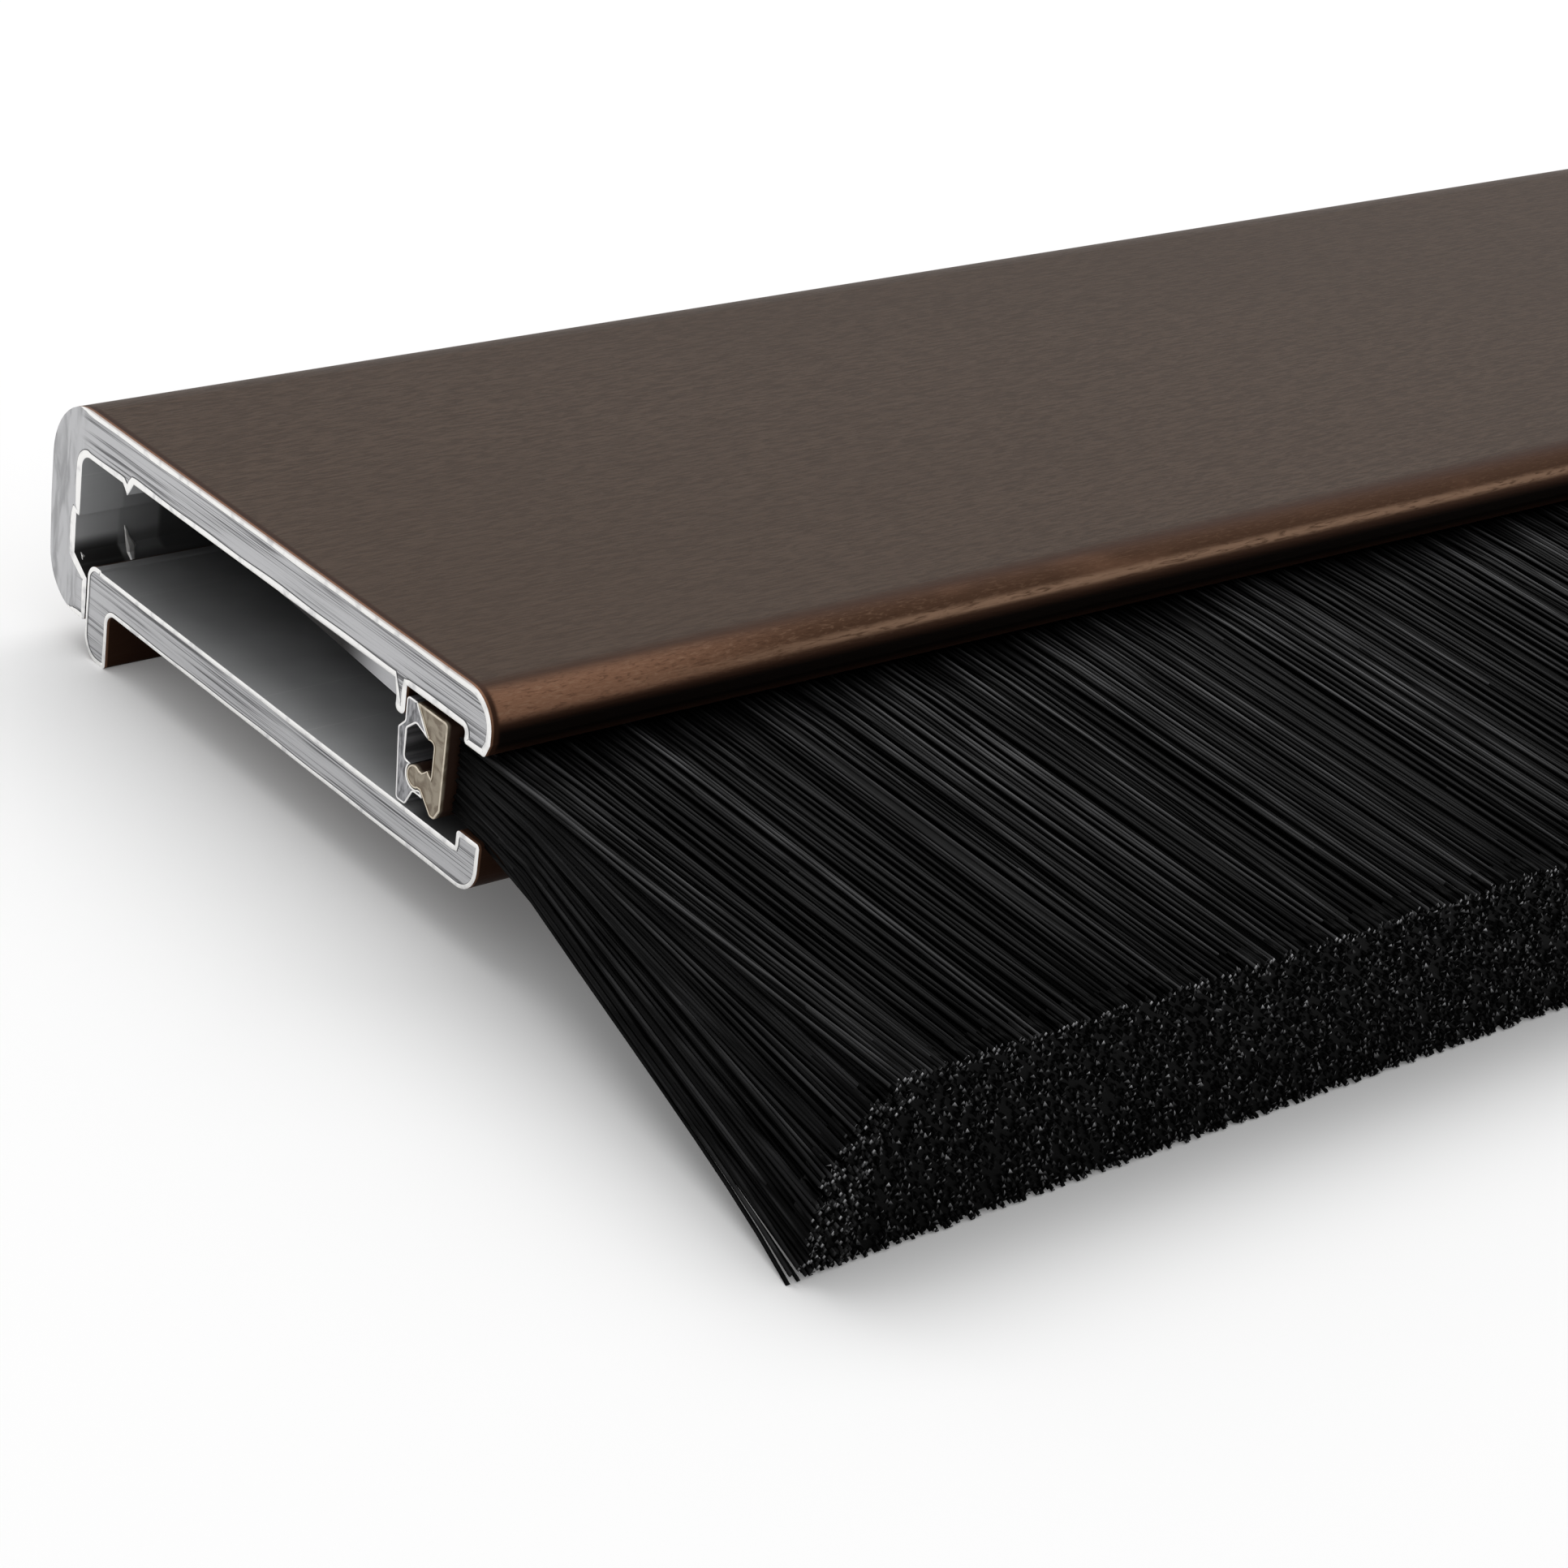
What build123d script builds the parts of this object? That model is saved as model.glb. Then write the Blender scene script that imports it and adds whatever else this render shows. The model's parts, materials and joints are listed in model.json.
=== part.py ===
"""Brush door sweep: a clip-on cover over a screw-down base, with a bristle strip held between them.

The section is drawn in two directions: forward, from the rear face of the cover towards the
bristle tips, and up, from the foot of the base's leg. The strip lies on that foot and on its
lowest bristle tips, with its length along X and the bristles pointing to -Y.
"""

import os
from math import copysign, radians, tan

from build123d import *

# Overall sizes, in millimetres
length = 914.0           # cut length, for a 36 inch door
cover_width = 42.2       # rear face of the cover to the front of its lip
brush_showing = 30.0     # bristles in front of the lip

# Heights that stack up from the foot of the leg
leg_drop = 3.5           # leg below the base plate
base_plate = 2.1         # thickness of the base plate
cavity = 6.5             # clear height between base and cover
cover_plate = 2.5        # thickness of the cover's top plate

# Fits
snap_clearance = 0.15    # cover's jaw to the base's leg
seat_clearance = 0.15    # brush holder to the base and to the cover's tab
socket_clearance = 0.06  # backing's bead and crown in the holder
top_clearance = 0.45     # brush holder to the underside of the cover
throat_clearance = 0.3   # bristles to the cover's lip and the base's hook

# Cover
cover_wall = 3.1         # rear wall
wall_relief = 0.35       # the rear wall is this much thinner below its step
wall_step = 2.4          # that step above the top of the base
jaw_thick = 4.2          # foot of the rear wall, which grips the leg
jaw_reach = 3.6          # rear wall below the top of the base
jaw_lead = 1.0           # top of the jaw below the top of the base
rear_round = 4.0         # top of the rear wall
foot_round = 3.0         # bottom of the rear wall
foot_lean = 0.3          # rear face at the foot, forward of the top
rear_pad = 0.35          # plate is this much thicker behind the tooth
inner_round = 0.8
tooth_at = 8.0           # V tooth under the plate, from the rear face
tooth_width = 1.1
tooth_depth = 0.85
ramp_run = 11.0          # thickening of the plate up to the tab
ramp_drop = 0.9
tab_thick = 0.8
tab_drop = 1.7           # tab below the plate
tab_round = 0.35
lip_thick = 2.1
lip_drop = 0.8           # lip below the plate
lip_lean = 0.35          # foot of the lip behind its front
lip_round = 2.0
edge_round = 0.25        # small corners of the extrusions
round_share = 0.95       # most of a side's length that the rounds at its ends may take

# Base
leg_thick = 2.25
leg_round = 1.4
leg_fillet = 0.7         # inside corner of leg and plate
bead_width = 1.3         # bead along the rear edge of the plate
bead_rise = 0.1
bead_round = 0.9
hook_thick = 1.95        # upturned front edge
hook_rise = 0.95
front_round = 1.6
screw_hole = 4.5         # diameter
screw_count = 6
screw_end = 57.0         # outermost screw hole from each cut end

# Brush holder, a claw open to the front
carrier_depth = 4.1      # holder and backing together
brush_setback = 3.5      # front of the backing behind the front of the lip
holder_lean = 0.35       # holder's foot forward of its shoulder
holder_foot_width = 0.8
holder_wall = 0.75       # wall beside the hollow
shoulder_run = 0.55      # sloped shoulder under the cover's tab
arm_width = 0.95         # upper arm in front of the tab
arm_thick = 1.15
arch_rise = 1.0          # underside of the claw above the holder's foot
lip_length = 0.8         # claw's lower lip, forward of the socket's centre

# Brush backing, which the bristles are set in
backing_wall = 0.95      # front wall
crown_depth = 1.55       # thick upper end of the wall
crown_step = 0.5
socket_radius = 0.62     # bead that snaps into the claw
socket_rise = 1.85       # centre of that bead above the holder's foot
neck_thick = 1.0         # neck that carries the bead
nub_rise = 0.3
toe_rise = 0.35          # toe above the holder's foot
toe_width = 0.8
toe_height = 0.65

# Bristles
end_margin = 0.6         # bristle roots inside the cut ends
root_swell = 0.2         # bristles at each end swell this much halfway up the throat
tip_spread = 9.6         # height of the fringe at its tips
end_flare = 4.4          # lowest tips spread beyond the roots at each end
end_lean = 1.2           # highest tips stay this far inside the roots there
shoulder_drop = 2.6      # shoulder of the fanned ends, below the highest tips
shoulder_flare = 2.6     # tips at that shoulder spread beyond the roots
fan_run = 45.0           # length of strip over which each end fans out
tuft_count = 120
tuft_groove = 0.45       # depth of the grooves between tufts

# Levels and stations that follow from the sizes above
depth = cover_width + brush_showing
base_top = leg_drop + base_plate
cover_under = base_top + cavity
cover_top = cover_under + cover_plate
leg_rear = jaw_thick + snap_clearance
leg_front = leg_rear + leg_thick
lip_foot = cover_under - lip_drop
lip_rear = cover_width - lip_thick
hook_top = base_top + hook_rise
hook_rear = cover_width - hook_thick
brush_root = cover_width - brush_setback
wall_rear = brush_root - backing_wall
holder_rear = brush_root - carrier_depth
holder_foot = base_top + seat_clearance
holder_top = cover_under - top_clearance
arm_rear = holder_rear + shoulder_run
crown_rear = arm_rear + arm_width
crown_foot = holder_top - crown_depth
tab_front = arm_rear - seat_clearance
tab_rear = tab_front - tab_thick
tab_foot = cover_under - tab_drop
shoulder_top = tab_foot - seat_clearance
hollow_rear = holder_rear + holder_wall
socket_at = hollow_rear + holder_lean + socket_radius
socket_up = holder_foot + socket_rise
neck_top = socket_up + neck_thick / 2
toe_foot = holder_foot + toe_rise
screw_line = (leg_front + holder_rear) / 2
screw_pitch = (length - 2 * screw_end) / (screw_count - 1)
half_fringe = length / 2 - end_margin

# The cut end as the eye sees it: forward is to the right and up is up
section = Plane(origin=(0, depth / 2, 0), x_dir=(0, -1, 0), z_dir=(-1, 0, 0))


def outline(*corners, mode=Mode.ADD):
    """Add a closed face to the sketch, through corners of (forward, up, corner radius).

    Where a side is too short for the rounds at its two ends, both are made smaller.
    """
    count = len(corners)
    points = [Vector(forward, up) for forward, up, radius in corners]
    sides = [points[i] - points[i - 1] for i in range(count)]
    turns = [radians(sides[i].get_angle(sides[(i + 1) % count])) for i in range(count)]
    setbacks = [corner[2] * tan(turn / 2) for corner, turn in zip(corners, turns)]
    fits = []
    for i, side in enumerate(sides):
        room = side.length * round_share
        taken = setbacks[i - 1] + setbacks[i]
        fits.append(room / taken if taken > room else 1.0)
    radii = [corner[2] * min(fits[i], fits[(i + 1) % count]) for i, corner in enumerate(corners)]
    with BuildLine() as edge:
        FilletPolyline(points, radius=radii, close=True)
    make_face(edge.edges(), mode=mode)


# Cover: top plate, rear wall with its jaw, V tooth, tab and rolled front lip
with BuildPart() as cover:
    with BuildSketch(section):
        outline(
            (0, cover_top, rear_round),
            (cover_width, cover_top, lip_round),
            (cover_width, cover_under, 0),
            (cover_width - lip_lean, lip_foot, edge_round),
            (lip_rear, lip_foot, edge_round),
            (lip_rear, cover_under, edge_round),
            (tab_front, cover_under, 0),
            (tab_front, tab_foot, tab_round),
            (tab_rear, tab_foot, tab_round),
            (tab_rear, cover_under - ramp_drop, 0),
            (tab_rear - ramp_run, cover_under, 0),
            (tooth_at + tooth_width / 2, cover_under, 0),
            (tooth_at, cover_under - tooth_depth, 0),
            (tooth_at - tooth_width / 2, cover_under - rear_pad, 0),
            (cover_wall, cover_under - rear_pad, inner_round),
            (cover_wall, base_top + wall_step, 0),
            (cover_wall - wall_relief, base_top + wall_step, 0),
            (cover_wall - wall_relief, base_top, 0),
            (jaw_thick, base_top - jaw_lead, 0),
            (jaw_thick, base_top - jaw_reach, edge_round),
            (foot_lean, base_top - jaw_reach, foot_round),
            (0, base_top + wall_step, 0),
        )
    extrude(amount=length / 2, both=True)

# Base: screw-down plate with a rear leg and an upturned front hook
with BuildPart() as base:
    with BuildSketch(section):
        outline(
            (leg_rear, base_top + bead_rise, bead_round),
            (leg_rear + bead_width, base_top + bead_rise, 0),
            (leg_rear + bead_width + bead_rise, base_top, 0),
            (hook_rear, base_top, 0),
            (hook_rear, hook_top, edge_round),
            (cover_width, hook_top, edge_round),
            (cover_width, leg_drop, front_round),
            (leg_front, leg_drop, leg_fillet),
            (leg_front, 0, edge_round),
            (leg_rear, 0, leg_round),
        )
    extrude(amount=length / 2, both=True)
    with Locations((0, depth / 2 - screw_line, base_top)):
        with GridLocations(screw_pitch, 0, screw_count, 1):
            Hole(radius=screw_hole / 2, depth=base_plate)

# Backing: front wall with a thick crown, and a neck with a bead at its end
with BuildPart() as brush_backing:
    with BuildSketch(section) as backing_section:
        outline(
            (crown_rear, holder_top, 0),
            (brush_root, holder_top, edge_round),
            (brush_root, toe_foot + toe_height, edge_round),
            (brush_root - toe_width / 2, toe_foot, edge_round),
            (brush_root - toe_width, toe_foot, edge_round),
            (socket_at + socket_radius, socket_up - neck_thick / 2, 0),
            (socket_at, socket_up - neck_thick / 2, 0),
            (socket_at, neck_top, 0),
            (socket_at + socket_radius, neck_top, 0),
            ((socket_at + socket_radius + wall_rear) / 2, neck_top + nub_rise, 0),
            (wall_rear, neck_top, 0),
            (wall_rear, crown_foot, edge_round),
            (wall_rear - crown_step, crown_foot, 0),
        )
        with Locations((socket_at, socket_up)):
            Circle(socket_radius)
    extrude(amount=length / 2, both=True)

# Holder: claw round the backing's bead, with an upper arm between the cover's tab and the crown
with BuildPart() as brush_holder:
    with BuildSketch(section):
        outline(
            (holder_rear + holder_lean, holder_foot, edge_round),
            (holder_rear, shoulder_top - shoulder_run, edge_round),
            (arm_rear, shoulder_top, edge_round),
            (arm_rear, holder_top, edge_round),
            (wall_rear, holder_top, 0),
            (wall_rear, socket_up, 0),
            (socket_at + lip_length, holder_foot + arch_rise, 0),
            (socket_at, holder_foot + arch_rise, edge_round),
            (holder_rear + holder_lean + holder_foot_width, holder_foot, edge_round),
        )
        outline(
            (crown_rear, holder_top - arm_thick, edge_round),
            (wall_rear - crown_step, crown_foot, 0),
            (wall_rear, crown_foot, 0),
            (wall_rear, neck_top, 0),
            (socket_at, neck_top, 0),
            (hollow_rear, socket_up + socket_radius, edge_round),
            (hollow_rear, (neck_top + holder_top) / 2, edge_round),
            mode=Mode.SUBTRACT,
        )
        offset(backing_section.sketch_local, amount=socket_clearance, mode=Mode.SUBTRACT)
    extrude(amount=length / 2, both=True)


def fan(x):
    """Share of the end spread at x: nothing along the strip, rising to 1 at each cut end."""
    inset = half_fringe - abs(x)
    return copysign(max(0.0, 1.0 - inset / fan_run) ** 2, x)


def fringe_outline(low, shoulder, high, flare=0.0, bulge=0.0, lean=0.0):
    """Add the fringe's section between two heights, grooved above and below into tufts.

    At each end the lowest bristles spread by flare and those at the shoulder by bulge, and the
    highest ones draw in by lean.
    """
    steps = range(2 * tuft_count + 1)
    stations = [half_fringe * (step / tuft_count - 1) for step in steps]
    bottom = [(x + flare * fan(x), low + tuft_groove * (step % 2)) for step, x in zip(steps, stations)]
    top = [(x - lean * fan(x), high - tuft_groove * (step % 2)) for step, x in zip(steps, stations)]
    far, near = [(side * (half_fringe + bulge), shoulder) for side in (1, -1)]
    with BuildLine() as edge:
        Polyline(*bottom, far, *reversed(top), near, close=True)
    make_face(edge.edges())


def across(forward):
    """Plane across the bristles, at a distance forward of the cover's rear face."""
    return Plane(origin=(0, depth / 2 - forward, 0), x_dir=(1, 0, 0), z_dir=(0, -1, 0))


# Bristles: one grooved fringe, straight through the throat, then opening out to the tips
throat_low = hook_top + throat_clearance
throat_high = lip_foot - throat_clearance
throat = (throat_low, (throat_low + throat_high) / 2, throat_high)
tips = (0, tip_spread - shoulder_drop, tip_spread)
with BuildPart() as brush:
    with BuildSketch(across(brush_root)):
        fringe_outline(*throat, bulge=root_swell)
    with BuildSketch(across(cover_width)):
        fringe_outline(*throat, bulge=root_swell)
    with BuildSketch(across(depth)):
        fringe_outline(*tips, end_flare, shoulder_flare, end_lean)
    loft(ruled=True)

pieces = {
    "cover": cover,
    "base": base,
    "brush_holder": brush_holder,
    "brush_backing": brush_backing,
    "brush": brush,
}
os.makedirs("parts", exist_ok=True)
for name, piece in pieces.items():
    piece.part.label = name
    export_step(piece.part, f"parts/{name}.step")
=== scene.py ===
"""Brush door sweep: finishes for its extrusions, sawn rims at the cut ends, and a brush of filaments.

The strip runs along X, its bristles point to -Y, and Z is up. Lengths are in metres, unless a comment or
a docstring says millimetres.
"""

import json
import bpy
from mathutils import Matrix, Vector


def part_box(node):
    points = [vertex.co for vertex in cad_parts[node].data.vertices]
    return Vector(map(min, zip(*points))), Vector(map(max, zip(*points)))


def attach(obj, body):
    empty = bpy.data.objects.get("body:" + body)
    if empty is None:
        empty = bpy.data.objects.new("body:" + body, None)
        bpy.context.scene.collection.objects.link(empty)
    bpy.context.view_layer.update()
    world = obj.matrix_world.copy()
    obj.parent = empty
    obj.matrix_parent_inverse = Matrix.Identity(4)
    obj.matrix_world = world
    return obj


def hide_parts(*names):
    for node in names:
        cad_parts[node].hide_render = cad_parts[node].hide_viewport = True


bl_info = {
    "name": "Brush door sweep",
    "version": (1, 0, 0),
    "blender": (4, 5, 0),
    "location": "View3D > Sidebar > Door sweep",
    "description": "Dresses a clip-on door sweep with its metal finishes, sawn ends and bristles",
    "category": "Object",
}

import bpy
import numpy as np
from bpy.props import FloatProperty, FloatVectorProperty, IntProperty, PointerProperty
from math import radians

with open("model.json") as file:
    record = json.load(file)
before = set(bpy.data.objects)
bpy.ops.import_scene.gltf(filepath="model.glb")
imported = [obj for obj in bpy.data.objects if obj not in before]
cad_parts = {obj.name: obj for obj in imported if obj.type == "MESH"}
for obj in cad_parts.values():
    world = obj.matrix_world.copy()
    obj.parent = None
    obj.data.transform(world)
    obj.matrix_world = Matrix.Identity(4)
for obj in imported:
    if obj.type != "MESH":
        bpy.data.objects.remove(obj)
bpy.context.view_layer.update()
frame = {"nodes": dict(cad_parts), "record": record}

MM = 0.001
BODY = "root"
SEED = 7

cover_low, cover_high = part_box("cover")
base_low, base_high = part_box("base")
brush_low, brush_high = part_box("brush")
openings = {space["name"]: space["box_m"] for space in frame["record"]["physics"]["openings"]}
channel_low, channel_high = (np.array(corner) for corner in openings["fixing_channel"])
half_length = cover_high.x

# Bands of colour, many of them painted light or shade, in millimetres from the cut end: where each starts,
# and where it is full
# Painted reflection: copper on the lip near each cut end
COPPER_REFLECTION_RUN = (24.0, 6.0)
SPECK_RUN = (40.0, 8.0)
# Painted highlight: the tan line down the lip, away from the cut ends
HIGHLIGHT_LINE_RUN = (4.0, 30.0)
# Painted dark reflection in umber along the rounded edges by each cut end
END_EDGE_DARK_REFLECTION = (0.6, 0.35)
COPPER_EDGE = (0.2, 0.1)
# Painted shade in umber on the backing, on all but its cut ends
BACKING_SIDE_SHADE = (0.02, 0.25)
# Painted shade in the channel: where it starts deep inside, and the near and far limits of its darker rear
# wall and foot
DEEP_SHADE_RUN = (0.5, 13.5)
NEAR_SHADE_RUN = (2.9, 2.65)
FAR_SHADE_RUN = (5.1, 5.6)

# The same, down from the cover's top
TOP_EDGE = (0.14, 0.03)
# Painted highlight: top and foot of the tan line down the lip
HIGHLIGHT_LINE_TOP = (0.7, 1.0)
HIGHLIGHT_LINE_FOOT = (1.4, 1.15)
# Painted shade down the lip's lower part: umber here, then black in the next band
LIP_LOWER_SHADE = (1.1, 1.6)
LIP_SHADE = (1.45, 2.0)
# Painted shade in umber on the sides lower than this
LOW_SIDE_SHADE = (2.6, 3.4)

# The same, from the cover's front edge
# Painted dark reflection in umber where the top rolls over into the lip
LIP_TOP_DARK_REFLECTION = (2.5, 1.4)
LIP = (1.7, 0.6)

# The same, from the cover's rear face
# Where the low sides' painted shade stops short of the rear face
BEFORE_REAR = (0.4, 0.5)
SAWN_WALL = (3.9, 2.6)
# Painted shade on the channel's rear wall
INNER_WALL_SHADE = (3.9, 3.3)

# The same, across the strip in Y
RAMP_FRONT = (1.7, 2.1)
# Painted shade: where the ramp starts to fade into it, and where it is full
RAMP_SHADE_FADE = (2.5, 7.0)
# Painted shade in the channel: on its floor towards the rear, on the jaw's slope, and by the brush
FLOOR_SHADE_REAR = (6.0, 28.0)
SLOPE_SHADE_RUN = (28.0, 29.0)
BRUSH_SIDE_SHADE = (1.0, -1.0)

# The same, up in Z, or down from the plate's underside
# Painted shade in the channel: on its floor, at the foot of the rear wall, and on the jaw's slope
FLOOR_SHADE_LEVEL = (6.6, 5.9)
WALL_FOOT_SHADE = (6.6, 5.2)
SLOPE_SHADE_LEVEL = (5.5, 5.0)
RAMP_TOP = (0.0, 0.04)

# Fading of the ramp: down to a multiple of its depth, and over a length behind its foot
RAMP_LOWEST = 1.6
RAMP_BEHIND = 0.5 * MM

# Finishes: strength of every bump, brightness of the channel's painted shade, and the reach in millimetres of
# the clouds that break up where it starts
BUMP_STRENGTH = 0.6
PAINTED_SHADE_SHARE = 0.12
SHADE_CLOUD_REACH = 3.0

# How far the channel's walls lie outside its box, in Y and Z: on its low side, and on its high side
CHANNEL_BEFORE = {"cover": (3.5 * MM, 2.8 * MM), "base": (3.5 * MM, 0.7 * MM)}
CHANNEL_PAST = (1.2 * MM, 1.1 * MM)

# Least part of a unit normal that counts as facing along an axis, and what keeps divisions off zero
FACING = 0.9
TINY = 1e-18

# Reading of a cut end: how close to its plane its corners lie, and the grid on which they are matched
ON_END = 1e-6
GRID = 1e-7

# Rims: spacing along the outline, rows across as shares of the width, and least width that is kept
RIM_STEP = 0.2 * MM
RIM_ROWS = np.array([0.0, 0.08, 0.3, 0.75, 0.9, 1.0])
RIM_LEAST = 0.02 * MM
# Unevenness of the rims: a share of the width, and radians to a metre in Y and Z
RIM_WAVES = ((0.07, (900, 700)), (0.06, (-400, 2100)))
# Steps in which the room for a rim is found, and how much nearer another edge may be, as a share
ROOM_STEPS = 10
ROOM_SLACK = 0.03
# Where the plate's ramp begins, and the least depth below the plate that belongs to it
RAMP_BEGIN = 2.0 * MM
RAMP_LEAST = 0.01 * MM
# Rear wall: how far before the rear face its rim starts to change, over what length, and how much wider
WALL_BEGIN = 4.5 * MM
WALL_BLEND = 1.5 * MM
WALL_WIDER = 0.4

# Flakes, in millimetres: distance from the cut end and height, then reach along X and Z
FLAKE_PLACES = ((2.9, 5.78), (0.2, 5.5), (3.6, 4.75))
FLAKE_REACHES = ((0.72, 1.12), (0.25, 0.22), (0.3, 0.14))
FLAKE_RINGS, FLAKE_SIDES = 8, 6
# Blade of a flake: shares of its height, and its width there
BLADE_STEPS = (0, 0.15, 0.3, 0.62, 0.8, 1)
BLADE_WIDTHS = (0.08, 0.3, 0.4, 1, 0.55, 0.05)
# Slope of the cover's jaw: height of its upper edge, its step behind the wall, and its run for a fall of 1
JAW_TOP = 5.6 * MM
JAW_STEP = 0.35 * MM
JAW_SLOPE = 1.45

# Core of the brush: inset from the ends, rings along it, and its loop from the upper root to the lower one
CORE_INSET = 0.8 * MM
CORE_RINGS = 160
CORE_SHARES = (0.95, 0.95, 0.95, 0.75, 0.5, 0.02, 0.02, 0.02)
CORE_TIP = 0.991

# Bristles: rings, sides, and how pale they are, for all rings or for each; the top row's levels along it are
# painted light and shade, and the other rows' low level is painted shade
TOP_FORM = (6, 4, (1.1, 1.25, 1.4, 0.92, 0.66, 1.2))
PLAIN_FORM = (4, 3, 0.15)
END_FORM = (6, 4)
STRAY_FORM = (12, 4)
STUB_SIDES = 3
# Where bristles and stubs start along the brush, and radii as shares of the bristle's diameter
ROOT_START, STUB_START = 0.01, 0.955
STRAND_RADIUS = (0.45, 0.55)
STUB_RADIUS = (0.44, 0.58)
# Drift and sag of single bristles, and how late along them the drift sets in
STRAND_DRIFT = 0.1 * MM
LATE = 1.5
# Tones of the bristles, from the darkest to the palest, and how rare the pale ones are
TONES = (0.11, 1.0)
RARE = 2.6
# Waves: height in millimetres, rate and start, for a tuft of the strip and for the height at its ends
BUNDLE_WAVES = ((0.08, 38.3, 0.0), (0.12, 22.7, 1.3), (0.14, 9.1, 0.0))
GATHER_WAVES = ((0.2, 41.0, 0.0), (0.16, 67.0, 2.0))
# Tufts to one radian of the slow wave in the grooves
SLOW_GROOVE = 0.37
# Rows: jitter as a share of the pitch, sinking of each row and looseness as shares of the diameter
ROW_JITTER = 0.18
ROW_SINK = 0.9
TOP_LOOSE, LOW_LOOSE = 0.6, 0.3
# Ends: packing and jitter as shares of the pitch, and scatter and limits of the heights
END_PACKING, END_JITTER = 0.8, 0.7
END_SCATTER, END_LIMITS = 0.012, (0.01, 0.99)
# Strays: heights, splay as shares of the room, and how late along them they splay
STRAY_SHARES = (0.0, 0.1)
STRAY_SPLAY = (0.8, 0.3)
STRAY_LATE = 6
# Tips: pieces of the face, jitter as a share of the pitch, limits of the heights, and slant of the cuts
TIP_PIECES = 4
TIP_JITTER = 0.25
TIP_LIMITS = (0.012, 0.988)
TIP_SLANT = 0.45
# Glints: how many bristles of a row or an end have one, its range in a row, and levels on the face of tips
ROW_GLINTS, END_GLINTS = 0.6, 0.45
ROW_GLINT = (0.2, 1.0)
TIP_GLINT_STEPS = (0.4, 0.9)
TIP_GLINT_LEVELS = np.array([0.02, 0.4, 1.0])

# Studio: places and lengths in metres, turns in degrees, power in watts, sensor and lens in millimetres
WHITE = (1.0, 1.0, 1.0)
FLOOR_REACH = 8.0
FLOOR_LIFT = 0.085
SOFT_LEVEL = 0.6
KEY_PLACE = (0.0, 0.5, 1.1)
KEY_AIM = (-0.2, 0.0, 0.0)
KEY_SIZE = (1.8, 0.9)
KEY_POWER = 11.0
CAMERA_PLACE = (-0.56177, -0.14118, 0.09902)
CAMERA_TURN = (62.796, -7.354, -38.862)
CAMERA_SENSOR, CAMERA_LENS = 36.0, 90.42
CAMERA_CLIP = 0.01


def shown(red, green, blue):
    """Linear colour of a display colour given as 0 to 255."""
    share = np.array([red, green, blue]) / 255.0
    return tuple(np.where(share <= 0.04045, share / 12.92, ((share + 0.055) / 1.055) ** 2.4))


def length(name, description, default):
    """A length property, with its default in millimetres."""
    return FloatProperty(name=name, description=description, default=default * MM, unit="LENGTH", precision=5)


def colour(name, description, red, green, blue):
    """A colour property, with its default as display values from 0 to 255."""
    default = shown(red, green, blue)
    return FloatVectorProperty(
        name=name, description=description, default=default, subtype="COLOR", size=3, min=0, max=1
    )


class SweepSizes(bpy.types.PropertyGroup):
    """Sizes of the bristles and of the sawn rims."""

    bristle: length("Bristle", "Diameter of one bristle", 0.26)
    pitch: length("Pitch", "Spacing of the bristles in a row", 0.36)
    tip_pitch: length("Tip pitch", "Spacing of the cut tips on the face of the fringe", 0.35)
    top_rows: IntProperty(name="Top rows", description="Rows of bristles on the upper side", default=2, min=1)
    low_rows: IntProperty(name="Low rows", description="Rows of bristles on the lower side", default=1, min=1)
    end_rows: IntProperty(name="End rows", description="Rows of bristles at each cut end", default=9, min=1)
    strays: IntProperty(name="Strays", description="Loose bristles at each lower corner", default=3, min=1)
    throat_gap: length("Throat gap", "Bristles above the upturned edge of the base", 0.3)
    tip_spread: length("Tip spread", "Height of the fringe at its tips", 9.6)
    end_margin: length("End margin", "Roots of the bristles inside the cut ends", 0.6)
    end_flare: length("End flare", "Lowest tips beyond the roots at each end", 3.45)
    end_lean: length("End lean", "Highest tips inside the roots at each end", 1.2)
    fan_run: length("Fan run", "Length of strip over which each end fans out", 45.0)
    tuft: length("Tuft", "Length of strip to one tuft", 7.6)
    tuft_groove: length("Tuft groove", "Depth of the grooves between tufts", 0.16)
    ragged: length("Ragged", "Most that a cut tip falls short", 0.28)
    cover_rim: length("Cover rim", "Width of the bright rim on the cover's cut end", 0.42)
    base_rim: length("Base rim", "Width of the bright rim on the base's cut end", 0.3)
    holder_rim: length("Holder rim", "Width of the bright rim on the holder's cut end", 0.11)
    backing_rim: length("Backing rim", "Width of the pale rim on the backing's cut end", 0.12)
    burr: length("Burr", "Height of the rims above the cut ends", 0.05)
    wall: length("Wall", "Thickness of the cover's rear wall", 3.1)
    plate: length("Plate", "Thickness of the cover's top plate", 2.5)
    ramp: length("Ramp", "Depth below the plate that still counts as its ramp", 1.0)
    ramp_foot: length("Ramp foot", "Place across the strip where the ramp leaves the plate", 13.0)


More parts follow.
